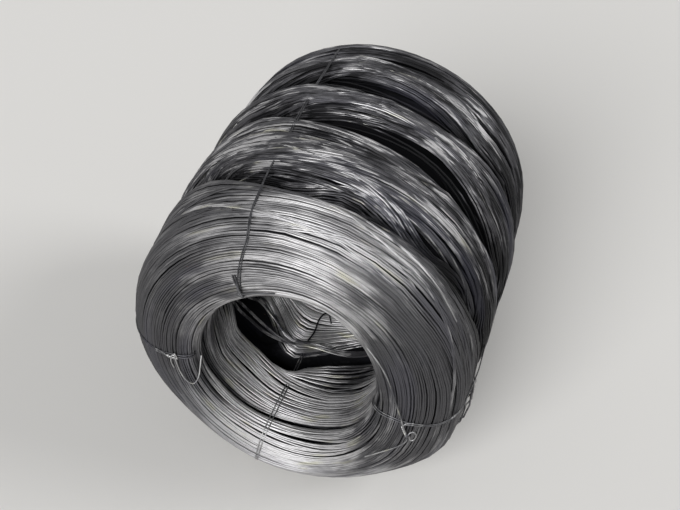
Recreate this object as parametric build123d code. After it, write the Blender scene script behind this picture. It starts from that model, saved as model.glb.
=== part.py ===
from build123d import *
import math
import os

# A coil of annealed iron wire standing on its rim: four bundles of turns held by four doubled tie wires.
# Millimetres. +Y runs along the coil's axis from its front end to its back end, +Z is up.
# The origin is on the floor, under the middle of the whole coil.

# The bundles of turns, from the front end to the back end
front_bundle_length = 126.0
second_bundle_length = 154.0
third_bundle_length = 108.0
back_bundle_length = 162.0
front_bundle_radius = 245.0
second_bundle_radius = 250.0
third_bundle_radius = 250.0
back_bundle_radius = 243.0
bore_radius = 123.0

# The hollows between one bundle and the next
outer_groove_depth = 20.0
outer_groove_half_width = 24.0
bore_gap_depth = 20.0
bore_gap_width = 28.0
bore_gap_setback = 14.0

# The rounded ends, where each ring is a few layers of turns that end a step further back
outer_shoulder_radius = 84.0
bore_shoulder_radius = 26.0
turn_ring_pitch = 26.0

# The doubled tie wires
tie_wire_diameter = 2.8
tie_wire_sides = 6
tie_clearance = 0.3
tie_pair_spacing = 4.0
tie_outer_bends = 4
tie_inner_bends = 2
twist_pitch = 10.0
twist_turns = 1.5
twist_steps_per_turn = 6

# Where the ties go round the coil, in degrees from +X towards +Z as seen from the front
top_tie_angle = 105.0
left_tie_angle = 180.0
bottom_tie_angle = 256.0
right_tie_angle = 350.0

# Where each knot lies, as a distance from the coil's axis
top_knot_radius = 150.0
left_knot_radius = 176.0
bottom_knot_radius = 160.0
right_knot_radius = 184.0

# Which way each twist points along the end: 0 is away from the axis, 90 is clockwise round it
top_knot_heading = 172.0
left_knot_heading = -100.0
bottom_knot_heading = 60.0
right_knot_heading = 80.0
twist_setback = 6.0
twist_slack = 0.11

coil_length = (
    front_bundle_length + second_bundle_length + third_bundle_length + back_bundle_length
)
rim_crests = (
    front_bundle_radius,
    second_bundle_radius,
    third_bundle_radius,
    back_bundle_radius,
)
tie_wire_radius = tie_wire_diameter / 2
tie_offset = tie_clearance + tie_wire_radius
twist_radius = tie_wire_radius + twist_slack
twist_lift = twist_radius + tie_offset


def groove_places():
    """How far behind the front end each hollow between two bundles lies."""
    first = front_bundle_length
    second = first + second_bundle_length
    third = second + third_bundle_length
    return first, second, third


def shoulder_point(end_y, inward, centre_r, side, radius, degrees):
    """A point on a rounded end, as (radius from the axis, place along it).

    inward is +1 at the front end and -1 at the back; side is +1 for the rim's shoulder and
    -1 for the bore's; degrees run from the end's flat land, at 0, round to the side, at 90.
    """
    turn = math.radians(degrees)
    centre_y = end_y + inward * shoulder_size(side)
    return (
        centre_r + side * radius * math.sin(turn),
        centre_y - inward * radius * math.cos(turn),
    )


def shoulder_size(side):
    """The radius of the rim's shoulder or of the bore's."""
    return outer_shoulder_radius if side > 0 else bore_shoulder_radius


def shoulder_centre(side, side_radius):
    """How far from the axis a shoulder's arc has its centre."""
    return side_radius - side * shoulder_size(side)


def turn_rings(end_y, inward, side, side_radius):
    """The steps that the layers of turns make round one shoulder, from the land to the side."""
    size = shoulder_size(side)
    centre_r = shoulder_centre(side, side_radius)
    rings = max(2, round(size * math.pi / 2 / turn_ring_pitch))
    points = [shoulder_point(end_y, inward, centre_r, side, size, 0.0)]
    for ring in range(1, rings + 1):
        radius, place = shoulder_point(end_y, inward, centre_r, side, size, 90.0 * ring / rings)
        points.append((points[-1][0], place))
        points.append((radius, place))
    return points


def rim_line():
    """The rim with its hollows between bundles, from front to back."""
    points = []
    for number, place in enumerate(groove_places()):
        before, after = rim_crests[number], rim_crests[number + 1]
        points.append((before, place - outer_groove_half_width))
        points.append((min(before, after) - outer_groove_depth, place))
        points.append((after, place + outer_groove_half_width))
    return points


def bore_line():
    """The bore with its square gaps between bundles, from front to back."""
    points = []
    for place in groove_places():
        middle = place + bore_gap_setback
        near, far = middle - bore_gap_width / 2, middle + bore_gap_width / 2
        deep = bore_radius + bore_gap_depth
        points += [(bore_radius, near), (deep, near), (deep, far), (bore_radius, far)]
    return points


def coil_section():
    """The outline of the wound turns on one side of the axis, as (radius, place) points."""
    rim_front = turn_rings(0, 1, 1, front_bundle_radius)
    rim_back = turn_rings(coil_length, -1, 1, back_bundle_radius)
    bore_front = turn_rings(0, 1, -1, bore_radius)
    bore_back = turn_rings(coil_length, -1, -1, bore_radius)
    around_rim = rim_front + rim_line() + rim_back[::-1]
    around_bore = bore_back + bore_line()[::-1] + bore_front[::-1]
    return around_rim + around_bore


def wire_coil():
    """The wound turns as one turned solid with its bore, on the Y axis from y = 0."""
    corners = [Vector(radius, place, 0) for radius, place in coil_section()]
    section = make_face(Polyline(*corners, close=True))
    return revolve(section, Axis.Y, 360)


def bend(end_y, inward, side, side_radius, bends):
    """Corners of a wire that is pulled round one shoulder, from the land to the side."""
    step = 90.0 / bends
    size = (shoulder_size(side) + tie_offset) / math.cos(math.radians(step / 2))
    centre_r = shoulder_centre(side, side_radius)
    return [
        shoulder_point(end_y, inward, centre_r, side, size, step * (number + 0.5))
        for number in range(bends)
    ]


def bends_inward(first, second, third):
    """Whether a tight wire from first to third would leave second untouched."""
    ahead = (second[0] - first[0]) * (third[1] - first[1])
    aside = (second[1] - first[1]) * (third[0] - first[0])
    return ahead - aside <= 1e-6


def pulled_tight(points):
    """The corners that a tight loop keeps out of the points that it is pulled round."""
    ordered = sorted(points)
    corners = []
    for run in (ordered, ordered[::-1]):
        kept = []
        for point in run:
            while len(kept) > 1 and bends_inward(kept[-2], kept[-1], point):
                kept.pop()
            kept.append(point)
        corners += kept[:-1]
    return corners


def tie_route():
    """The corners of a tight tie round the turns, as (radius, place), from inside the bore."""
    first, second, third = groove_places()
    crests = [
        (front_bundle_radius + tie_offset, first - outer_groove_half_width),
        (second_bundle_radius + tie_offset, first + outer_groove_half_width),
        (second_bundle_radius + tie_offset, second - outer_groove_half_width),
        (third_bundle_radius + tie_offset, second + outer_groove_half_width),
        (third_bundle_radius + tie_offset, third - outer_groove_half_width),
        (back_bundle_radius + tie_offset, third + outer_groove_half_width),
    ]
    bore_bends = bend(0, 1, -1, bore_radius, tie_inner_bends)
    bore_bends += bend(coil_length, -1, -1, bore_radius, tie_inner_bends)
    rim_bends = bend(0, 1, 1, front_bundle_radius, tie_outer_bends)
    rim_bends += bend(coil_length, -1, 1, back_bundle_radius, tie_outer_bends)
    start = (bore_radius - tie_offset, coil_length / 2)
    return [start] + pulled_tight(bore_bends + rim_bends + crests)


def wire_along(points, closed):
    """A tie wire swept along straight runs through the points."""
    path = Wire.make_polygon(points, close=closed)
    heading = points[1] - points[0]
    outline = Plane(origin=points[0], z_dir=heading) * RegularPolygon(
        tie_wire_radius, tie_wire_sides
    )
    return sweep(outline, path=path, transition=Transition.RIGHT)


def drop_behind_land(radius, rim_radius):
    """How far the rounded end has fallen back from its flat land at a distance from the axis."""
    for side, side_radius in ((1, rim_radius), (-1, bore_radius)):
        beyond = side * (radius - shoulder_centre(side, side_radius))
        size = shoulder_size(side)
        if 0 < beyond < size:
            return size - math.sqrt(size**2 - beyond**2)
    return 0.0


def on_end(radius, degrees, proud, end):
    """A point that stands proud of the turns on the coil's front or back end."""
    turn = math.radians(degrees)
    rim_radius = front_bundle_radius if end == "front" else back_bundle_radius
    back = drop_behind_land(radius, rim_radius) - proud
    place = back if end == "front" else coil_length - back
    return Vector(radius * math.cos(turn), place, radius * math.sin(turn))


def knot_strand(start, heading, outward, phase, tail):
    """One strand's centre line through the twisted knot and out along its loose tail."""
    across = heading.cross(outward)
    steps = round(twist_turns * twist_steps_per_turn)
    points = []
    for step in range(steps + 1):
        turn = math.radians(phase + 360.0 * step / twist_steps_per_turn)
        along = heading * (twist_pitch * step / twist_steps_per_turn)
        swing = across * math.cos(turn) + outward * math.sin(turn)
        points.append(start + along + swing * twist_radius)
    return points + tail


def tie(angle, knot_radius, knot_heading, tails, end):
    """A doubled tie round the turns, its two wires twisted together where they end."""
    turn = math.radians(angle)
    radial = Vector(math.cos(turn), 0, math.sin(turn))
    sideways = Vector(math.sin(turn), 0, -math.cos(turn))
    outward = Vector(0, -1 if end == "front" else 1, 0)
    lean = math.radians(knot_heading)
    heading = radial * math.cos(lean) + sideways * math.sin(lean)
    knot = on_end(knot_radius, angle, twist_lift, end) + heading * twist_setback
    wires = []
    for number, side in enumerate((1, -1)):
        shift = sideways * (side * tie_pair_spacing / 2)
        loop = [radial * r + Vector(0, y, 0) + shift for r, y in tie_route()]
        foot = on_end(knot_radius, angle, tie_offset, end) + shift
        tail = [
            on_end(share * knot_radius, degrees, proud * tie_wire_diameter, end)
            for share, degrees, proud in tails[number]
        ]
        strand = [foot] + knot_strand(knot, heading, outward, 180.0 * number, tail)
        wires += [wire_along(loop, True), wire_along(strand, False)]
    return wires[0].fuse(*wires[1:])


# Corners of the loose tails: share of the knot radius, degrees, wire diameters proud of the turns
top_tails = (
    [(0.80, 107.0, 0.7), (0.75, 104.0, -4.3), (0.70, 96.0, -11.4)],
    [(0.81, 102.0, 1.8), (0.76, 98.0, -2.1)],
)
left_tails = (
    [
        (0.95, 190.0, 1.8),
        (0.93, 202.0, 2.5),
        (0.85, 208.0, 2.5),
        (0.80, 206.0, 2.1),
        (0.75, 196.0, 1.4),
        (0.68, 166.0, 1.1),
    ],
    [(1.02, 190.0, 1.8), (1.06, 196.0, 2.5)],
)
bottom_tails = (
    [(1.11, 245.0, 2.1), (1.13, 238.0, 2.5)],
    [(1.14, 249.0, 2.1), (1.19, 249.0, 2.9)],
)
right_tails = (
    [(0.98, 330.0, 1.8), (0.91, 312.0, 2.9)],
    [(1.04, 338.0, 1.8), (1.10, 333.0, 2.1)],
)

pieces = {
    "wire_coil": wire_coil(),
    "tie_top": tie(top_tie_angle, top_knot_radius, top_knot_heading, top_tails, "front"),
    "tie_left": tie(left_tie_angle, left_knot_radius, left_knot_heading, left_tails, "front"),
    "tie_bottom": tie(
        bottom_tie_angle, bottom_knot_radius, bottom_knot_heading, bottom_tails, "back"
    ),
    "tie_right": tie(right_tie_angle, right_knot_radius, right_knot_heading, right_tails, "front"),
}

# The origin is set under the middle of everything, at the height of the lowest point
reach = Compound([solid for piece in pieces.values() for solid in piece.solids()]).bounding_box()
to_floor = Pos(-reach.center().X, -reach.center().Y, -reach.min.Z)
print("moved by", to_floor.position)

os.makedirs("parts", exist_ok=True)
for name, piece in pieces.items():
    export_step(to_floor * piece, f"parts/{name}.step")
    print(name, "solids", len(piece.solids()), "volume", round(piece.volume))
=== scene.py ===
# %% [markdown]
# # A coil of annealed iron wire
# Soft black wire is wound in a cage, annealed in a furnace and tied with short doubled wires.
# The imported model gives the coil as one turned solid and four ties. This file gives it its looks:
# hundreds of separate turns that wander, part and cross, and the thin ties that hold them.
# Everything is in metres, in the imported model's own frame.

import math

import bmesh
import bpy
import numpy as np
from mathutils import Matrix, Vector


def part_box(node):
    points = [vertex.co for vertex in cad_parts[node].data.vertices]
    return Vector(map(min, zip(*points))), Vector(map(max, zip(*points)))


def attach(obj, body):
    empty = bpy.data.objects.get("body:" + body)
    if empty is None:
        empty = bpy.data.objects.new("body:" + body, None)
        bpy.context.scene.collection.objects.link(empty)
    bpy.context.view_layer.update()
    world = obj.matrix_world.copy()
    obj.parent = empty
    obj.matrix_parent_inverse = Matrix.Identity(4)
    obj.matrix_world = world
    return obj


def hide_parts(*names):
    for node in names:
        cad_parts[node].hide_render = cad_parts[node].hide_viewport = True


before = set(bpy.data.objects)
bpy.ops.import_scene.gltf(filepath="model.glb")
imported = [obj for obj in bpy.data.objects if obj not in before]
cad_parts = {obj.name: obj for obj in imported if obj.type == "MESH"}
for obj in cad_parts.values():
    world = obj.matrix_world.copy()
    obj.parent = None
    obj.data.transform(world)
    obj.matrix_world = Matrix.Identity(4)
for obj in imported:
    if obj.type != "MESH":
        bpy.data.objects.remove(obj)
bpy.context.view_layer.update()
print("nodes", sorted(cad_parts))

# %% [markdown]
# The coil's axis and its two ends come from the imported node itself, so the turns always sit
# where the solid is. The sizes of its bundles are repeated here from the construction.

# %% Sizes of the coil
coil_low, coil_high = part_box("wire_coil")
axis_x = (coil_low.x + coil_high.x) / 2
axis_z = (coil_low.z + coil_high.z) / 2
front_y = coil_low.y
coil_length = coil_high.y - coil_low.y

bundle_radii = (0.245, 0.250, 0.250, 0.243)
groove_places = (0.126, 0.280, 0.388)
bore_gap_places = (0.143, 0.294, 0.402)
lip_groove_place = 0.036
bore_radius = 0.123
rim_shoulder = 0.084
bore_shoulder = 0.026
wire_radius = 0.0014
print("coil", round(coil_length, 4), "long, axis at", round(axis_x, 4), round(axis_z, 4))

# %% [markdown]
# A turned shape is easiest to think of as its section: one closed line of radius and place
# along the axis. Each turn of wire is then one point on this line, carried round the axis. The line
# is drawn first as if the coil were one smooth bundle, and the hollows are pressed into it later.

# %% The section of the wound coil
line_step = 0.001
crest_change = 0.020


def shoulder(centre_r, centre_y, size, start, stop):
    """Points on a quarter round, with angles in degrees from the axis direction."""
    turn = np.radians(np.linspace(start, stop, 60))
    return centre_r + size * np.sin(turn), centre_y - size * np.cos(turn)


def section_line():
    """The section as radius and place, out over the rim and back through the bore."""
    rim_y = np.arange(rim_shoulder, coil_length - rim_shoulder, line_step)
    ends = [place + side * crest_change for place in groove_places for side in (-1, 1)]
    crest = np.interp(rim_y, [0.0] + ends + [coil_length], np.repeat(bundle_radii, 2))
    bore_y = np.arange(coil_length - bore_shoulder, bore_shoulder, -line_step)
    front_in, back_in = bundle_radii[0] - rim_shoulder, bundle_radii[-1] - rim_shoulder
    bore_in = bore_radius + bore_shoulder
    parts = [
        shoulder(front_in, rim_shoulder, rim_shoulder, 0, 90),
        (crest, rim_y),
        shoulder(back_in, coil_length - rim_shoulder, rim_shoulder, 90, 180),
        shoulder(bore_in, coil_length - bore_shoulder, bore_shoulder, 180, 270),
        (np.full(len(bore_y), bore_radius), bore_y),
        shoulder(bore_in, bore_shoulder, bore_shoulder, 270, 360),
    ]
    columns = [np.concatenate(column) for column in zip(*parts)]
    return [np.append(column, column[0]) for column in columns]


line_r, line_y = section_line()
line_at = np.concatenate([[0], np.cumsum(np.hypot(np.diff(line_r), np.diff(line_y)))])
section_length = line_at[-1]
print("section", len(line_r), "points,", round(section_length, 3), "m round")

# %% [markdown]
# Every place on the coil can now be told by two numbers: how far along the section line it lies,
# and how deep below it. That is how a winder would say it, too: which layer, and where in it. All
# later pieces use these helpers, so nothing has to know whether it lies on the rim, on an end or in
# the bore.

# %% Places along the section
tangent_reach = 0.002


def along_line(column, at):
    """A column of the section line at distances along it."""
    return np.interp(np.mod(at, section_length), line_at, column)


def on_section(at, depth):
    """Radius and place of points a depth inside the section line, at distances along it."""
    ahead, behind = at + tangent_reach, at - tangent_reach
    step_r = along_line(line_r, ahead) - along_line(line_r, behind)
    step_y = along_line(line_y, ahead) - along_line(line_y, behind)
    size = np.maximum(np.hypot(step_r, step_y), 1e-6)
    r = along_line(line_r, at) - depth * step_y / size
    return r, along_line(line_y, at) + depth * step_r / size


def lap(distance):
    """A distance along the closed section line, the shorter way round."""
    return np.mod(distance + section_length / 2, section_length) - section_length / 2


def section_place(y, side):
    """How far along the section line a place on the rim (side 1) or the bore (side -1) lies."""
    on_rim = line_r > bundle_radii[0] - rim_shoulder + 0.04
    in_bore = line_r < bore_radius + 0.03
    index = np.where(on_rim if side > 0 else in_bore)[0]
    return line_at[index[np.argmin(np.abs(line_y[index] - y))]]


print("rim begins", round(section_place(rim_shoulder, 1), 3), "m along")
print("the bore begins", round(section_place(coil_length, -1), 3), "m along")

# %% [markdown]
# Nothing on a heavy soft coil is straight: whole layers drift to one side, and single turns wander
# by a millimetre or two. Such drift is a sum of a few slow waves round the coil. Some waves are
# shared by all turns, so neighbours move together, and the others are drawn from a seeded random
# source, so the coil comes out the same each time.

# %% Waves round the coil
rng = np.random.default_rng(11)
turn_points = 60
angles = np.arange(turn_points) / turn_points * 2 * math.pi

# waves round the coil, waves round the section, size, start
shared_waves = (
    (1, 2, 0.0045, 0.6), (2, 5, 0.0036, 2.2), (3, 9, 0.0024, 4.0), (5, 15, 0.0011, 1.1),
)


def wander(places):
    """How far all turns near a place drift to one side together, round the coil."""
    total = np.zeros((len(places), turn_points))
    for cycles, section_cycles, size, start in shared_waves:
        phase = start + 2 * math.pi * section_cycles * places[:, None] / section_length
        total += size * np.cos(cycles * angles + phase)
    return total


def swell(value, width):
    """A smooth bump that is 1 where the value is 0."""
    return np.exp(-((value / width) ** 2))


def near(turn, middle, width):
    """A smooth bump round an angle, all in degrees but for the turn."""
    return swell(np.mod(np.degrees(turn) - middle + 180, 360) - 180, width)


def own_waves(count, sizes):
    """Rows of smooth random waves round the coil; sizes gives waves per turn and their size."""
    rows = np.zeros((count, turn_points))
    for cycles, size in sizes:
        start = rng.uniform(0, 2 * math.pi, (count, 1))
        rows += size * rng.uniform(0.3, 1.0, (count, 1)) * np.cos(cycles * angles + start)
    return rows


print("turns drift together by up to", round(float(np.abs(wander(line_at)).max()), 4), "m")

# %% [markdown]
# Real turns never lie like thread on a spool. They gather in small bunches of ten or so wires,
# the bunches wander along the coil and part from each other, and black gaps open between them.
# So the section is cut into bunches whose borders are wavy lines round the coil, and every gap
# opens and closes on its way round. The widest ones are the hollows between the four bundles.

# %% Where the bunches of turns part
# least and greatest width of the first bunch behind a hollow and of the others, and of the last one
first_widths = (0.022, 0.042)
bunch_widths = (0.018, 0.044)
last_width = 0.020
lip_opens = 0.95


def looseness(at):
    """How readily bunches part: little on the tight front end, more on the bundles behind it."""
    place = along_line(line_y, at)
    rim = along_line(line_r, at) > bore_radius + bore_shoulder
    return float(np.interp(place, (0.0, 0.10, 0.14, 0.3), (0.14, 0.35, 1.1, 1.4))) if rim else 0.6


def borders():
    """Places on the section where bunches part, and how strongly each one opens."""
    lip = section_place(lip_groove_place, -1)
    places = sorted([section_place(place, 1) for place in groove_places]
                    + [section_place(place, -1) for place in bore_gap_places] + [lip])
    filled, opens = [], []
    for start, stop in zip(places, places[1:] + [places[0] + section_length]):
        filled.append(start)
        opens.append(lip_opens if start == lip else 1.0)
        at = start + rng.uniform(*first_widths)
        while at < stop - last_width:
            filled.append(at)
            opens.append(min(rng.uniform(0.3, 0.95) * looseness(at), 0.99))
            at += rng.uniform(*bunch_widths)
    return np.array(filled), np.array(opens)


border_at, border_opens = borders()
strong = np.where(border_opens == 1.0)[0]
wildness = np.array([looseness(at) for at in border_at])[:, None]
border_line = border_at[:, None] + wander(border_at)
drift_waves = ((2, 0.0032), (3, 0.0030), (5, 0.0019), (8, 0.0008))
border_line += wildness * own_waves(len(border_at), drift_waves)
opening_waves = ((1, 0.35), (2, 0.45), (3, 0.4), (5, 0.2))
opening = 0.35 + 0.25 * np.cos(angles) + own_waves(len(border_at), opening_waves)
opening = np.clip(opening, 0, 1) * border_opens[:, None]
wide = 0.8 + 0.2 * np.cos(angles) + own_waves(len(strong), ((2, 0.2), (3, 0.1)))
opening[strong] = np.clip(wide, 0.45, 1)
lip_number = int(np.argmin(np.abs(border_opens - lip_opens)))
opening[lip_number] = 0.55 + own_waves(1, ((1, 0.15), (2, 0.15)))[0] - 0.35 * near(angles, 305, 28)
bore_gap = strong[-1]
print(len(border_at), "bunches of turns,", len(strong), "of them begin at a hollow")

# %% [markdown]
# The widest gaps on the rim are what one knows this coil by, so they aren't left to chance. Each is
# a line of measured points round the coil, and the nearest border is laid over it. The free borders
# beside it give way smoothly, as turns do when a gap is pulled open.

# %% The gaps seen on the rim
# degrees, millimetres behind the front end, how wide it opens; the three between bundles come first
rim_gap_lines = (
    ((0, 168, 1.3), (18, 145, 1.6), (30, 134, 1.6), (40, 127, 1.2), (50, 121, 0.5), (58, 118, 0.1),
     (66, 115, 0.5), (85, 117, 0.75), (99, 126, 0.7), (114, 145, 0.7), (124, 163, 0.6),
     (140, 184, 0.6), (200, 170, 0.7), (270, 150, 0.8), (330, 162, 1.0)),
    ((12, 266, 0.8), (29, 248, 0.8), (42, 254, 0.9), (57, 264, 1.0), (72, 269, 0.9), (87, 277, 0.9),
     (94, 281, 0.8), (102, 289, 0.8), (110, 301, 0.6), (121, 318, 0.4), (160, 316, 0.8),
     (230, 290, 0.8), (300, 278, 0.8)),
    ((30, 385, 0.3), (50, 382, 0.2), (60, 371, 1.1), (68, 366, 1.3), (83, 375, 1.2), (99, 391, 1.0),
     (107, 399, 0.8), (117, 406, 0.6), (180, 398, 0.8), (260, 385, 0.8), (330, 388, 0.8)),
    ((48, 34, 0.0), (40, 32, 0.9), (27, 34, 1.3), (10, 41, 1.5), (352, 47, 1.3), (340, 50, 0.6),
     (325, 50, 0.0), (180, 40, 0.3), (100, 40, 0.0)),
    ((50, 74, 0.0), (66, 73, 0.3), (80, 76, 0.4), (93, 74, 0.3), (105, 76, 0.0), (200, 80, 0.4),
     (300, 78, 0.3)),
    ((52, 208, 0.0), (66, 212, 0.7), (79, 218, 0.8), (94, 228, 0.7), (102, 237, 0.4),
     (112, 240, 0.0), (200, 225, 0.5), (300, 215, 0.5)),
    ((60, 430, 0.0), (50, 430, 1.2), (43, 426, 1.4), (34, 434, 1.3), (24, 440, 0.3), (0, 440, 0.0),
     (180, 436, 0.5)),
)
give_way = 0.032


def round_the_coil(degrees, values):
    """Values measured at some angles, read off at every angle round the coil."""
    return np.interp(np.degrees(angles), degrees, values, period=360)


def measured(line, side, column=1):
    """Section places round the coil of a measured line on the rim (side 1) or the bore (-1)."""
    table = np.array(line).T
    y = round_the_coil(table[0], table[column] / 1000)
    return np.array([section_place(place, side) for place in y])


def follow_line(number, line, settled):
    """Lays one border along a given line and lets the free borders near it give way."""
    move = lap(measured(line, 1) - border_line[number])
    weight = swell(lap(border_at - border_at[number]), give_way)
    weight[settled] = 0
    border_line[:] = border_line + weight[:, None] * move
    degrees, _, opens = np.array(line).T
    opening[number] = round_the_coil(degrees, opens)


settled = list(strong[:3])
for number, line in zip(settled, rim_gap_lines):
    follow_line(number, line, [other for other in settled if other != number])
for line in rim_gap_lines[3:]:
    middle = section_place(np.median([place for _, place, _ in line]) / 1000, 1)
    free = [number for number in range(len(border_at)) if number not in settled]
    nearest = min(free, key=lambda number: abs(lap(border_at[number] - middle)))
    follow_line(nearest, line, settled)
    settled.append(nearest)
print("gaps on the rim laid at borders", settled)

# %% [markdown]
# Looking into the bore, one sees a wall of turns that ends early, then a wide black gap that bends
# like a wedge, and the next bundle behind it. Borders on either side of the gap are stretched to
# its two measured edges, so that the turns keep their order and only their spacing changes.

# %% The black gap inside the bore
# degrees, and millimetres behind the front end of its two edges
bore_gap_line = (
    (0, 118, 158), (60, 128, 158), (130, 128, 160), (170, 142, 176), (187, 148, 192), (197, 141, 206),
    (205, 132, 214), (217, 135, 221), (227, 136, 210), (236, 133, 192), (243, 130, 171),
    (253, 130, 168), (259, 140, 178), (265, 156, 188), (277, 171, 204), (290, 174, 214),
    (310, 165, 212), (335, 130, 180),
)
# the wall in front of the gap ends here, and at the lower right turns lean back behind it, painted dark
# there as shade
wall_line = (
    (0, 112), (60, 128), (130, 128), (170, 142), (187, 148), (197, 141), (205, 132), (217, 135),
    (227, 136), (236, 132), (243, 128), (257, 119), (271, 112), (286, 105), (299, 101), (315, 95),
    (335, 100),
)
front_edge = measured(bore_gap_line, -1)
back_edge = measured(bore_gap_line, -1, 2)
wall_edge = measured(wall_line, -1)
old_line = border_line[bore_gap].copy()
for between, far, edge in ((range(bore_gap + 1, lip_number), lip_number, wall_edge),
                           (range(strong[-2] + 1, bore_gap), strong[-2], back_edge)):
    for number in between:
        share = (border_line[number] - old_line) / (border_line[far] - old_line)
        border_line[number] = edge + share * (border_line[far] - edge)
border_line[bore_gap + 1] = np.maximum(wall_edge, front_edge)
border_line[bore_gap] = (front_edge + back_edge) / 2
edge_opens = 0.15
wall_opens = 0.25
opening[bore_gap] = edge_opens
opening[bore_gap + 1:lip_number] *= wall_opens
opening[bore_gap + 1] = edge_opens
shortest, longest = [round(float(pick(front_edge - back_edge)), 3) for pick in (np.min, np.max)]
print("the black gap is", shortest, "to", longest, "m long")

# %% [markdown]
# The front end and the crest behind it were wound tightest, so their bunches part the least. They
# close up most where the turns lie combed: at the left of the end, and at its upper right.

# %% How calm the front bundle is
end_reach = 0.075
crest_reach = 0.115
outer_side = 0.140
border_y = along_line(line_y, border_at)
on_outside = along_line(line_r, border_at) > outer_side
end_borders = on_outside & (border_y < end_reach)
crest_borders = on_outside & (border_y < crest_reach) & ~end_borders
opening[end_borders] *= 0.36 - 0.22 * near(angles, 185, 60) - 0.30 * near(angles, 38, 32)
opening[crest_borders] *= 0.50 - 0.44 * near(angles, 35, 36)
print(int(end_borders.sum()), "calm borders on the end and", int(crest_borders.sum()), "on the crest")

# %% [markdown]
# Between the bundles the rim falls away in V-shaped hollows, and inside the bore the bundles leave
# square gaps that look black. Both follow the wavy borders, so no two sides of the coil are alike.

# %% The hollows between the bundles
# half width at the top, half width of the floor, depth, how sharply the walls curve; the widths of
# the first gap in the bore are shares of its measured half width
rim_hollow = (0.042, 0.000, 0.026, 2.5)
first_bore_gap = (1.05, 0.80, 0.024, 1.0)
other_bore_gap = (0.018, 0.009, 0.020, 1.0)
hollows = dict(zip(strong, (rim_hollow,) * 3 + (other_bore_gap,) * 2 + (first_bore_gap,)))
spans = dict(zip(strong, 1.0 + own_waves(len(strong), ((1, 0.20), (2, 0.15)))))
spans[bore_gap] = (front_edge - back_edge) / 2


def bore_slope(at, turn):
    """How far the turns between the bore's wall and its gap lean back, at the lower right."""
    behind_wall = lap(np.interp(turn, angles, wall_edge, period=2 * math.pi) - at)
    return 0.006 * near(turn, 288, 28) * np.clip(behind_wall / 0.050, 0, 1) * (behind_wall < 0.09)


def hollow_fall(at, turn):
    """How far the turns have sunk into the hollows at places on the section, at angles."""
    total = np.zeros(np.broadcast(at, turn).shape)
    for number, (reach, flat, depth, power) in hollows.items():
        line = np.interp(turn, angles, border_line[number], period=2 * math.pi)
        span = np.interp(turn, angles, spans[number], period=2 * math.pi)
        away = np.abs(lap(at - line))
        total += depth * np.clip((reach * span - away) / ((reach - flat) * span), 0, 1) ** power
    return total


print("hollows at", [round(float(border_at[number]), 3) for number in strong])

# %% [markdown]
# A heavy soft coil isn't truly round. This one has spread at its lower right behind the front
# bundle, is drawn in at the lower left of the front end, and its opening sits a little high. All
# pieces are placed through one function, so that ties, turns and core lean together.

# %% How the soft coil leans
spread_size = 0.0170
drawn_in_size = 0.0150
opening_lift = 0.0180
lean_reach = 0.11


def in_world(r, y, turn):
    """World points on the leaning coil, from radius, place along the axis and angle."""
    outer = np.clip((r - 0.15) / 0.06, 0, 1)
    inner = np.clip((0.225 - r) / 0.085, 0, 1) * swell(y, lean_reach)
    spread = spread_size * near(turn, -34, 14) * swell(y - lean_reach, 0.09)
    drawn_in = drawn_in_size * near(turn, -137, 30) * swell(y, lean_reach)
    r = r + outer * (spread - drawn_in) + opening_lift * inner * near(turn, 70, 46)
    return np.stack([axis_x + r * np.cos(turn), front_y + y, axis_z + r * np.sin(turn)], -1)


print("spread by", round(float(in_world(0.25, 0.11, math.radians(-30))[0] - axis_x), 4))

# %% [markdown]
# Two numbers for the finish belong to each point of a turn. Tone is the turn's own brightness:
# one wire is a little lighter than the next, and takes after its neighbours. Rub says how much the
# place is worn, and it also carries painted light and shade. The foot and the top of the front
# bundle, the bore, its floor and the edge where its wall ends are painted lighter where the light
# falls on them. Turns in gaps are darker both from unrubbed oxide and as painted shade, and those
# on the two sides, toward the far end and beside the bore's black gap are painted dark as shade.

# %% Wear with painted light and shade on each turn
def tones(count, wild):
    """How bright each turn is along its way, shared in part with its neighbours."""
    own = wild * rng.uniform(-0.25, 0.25, (count, 1))
    own = own + own_waves(count, ((2, 0.12 * wild), (3, 0.16), (5, 0.20), (8, 0.20), (13, 0.18)))
    return 0.5 + 0.60 * own + 0.40 * (np.roll(own, 1, 0) + np.roll(own, 2, 0)) / 1.4


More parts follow.
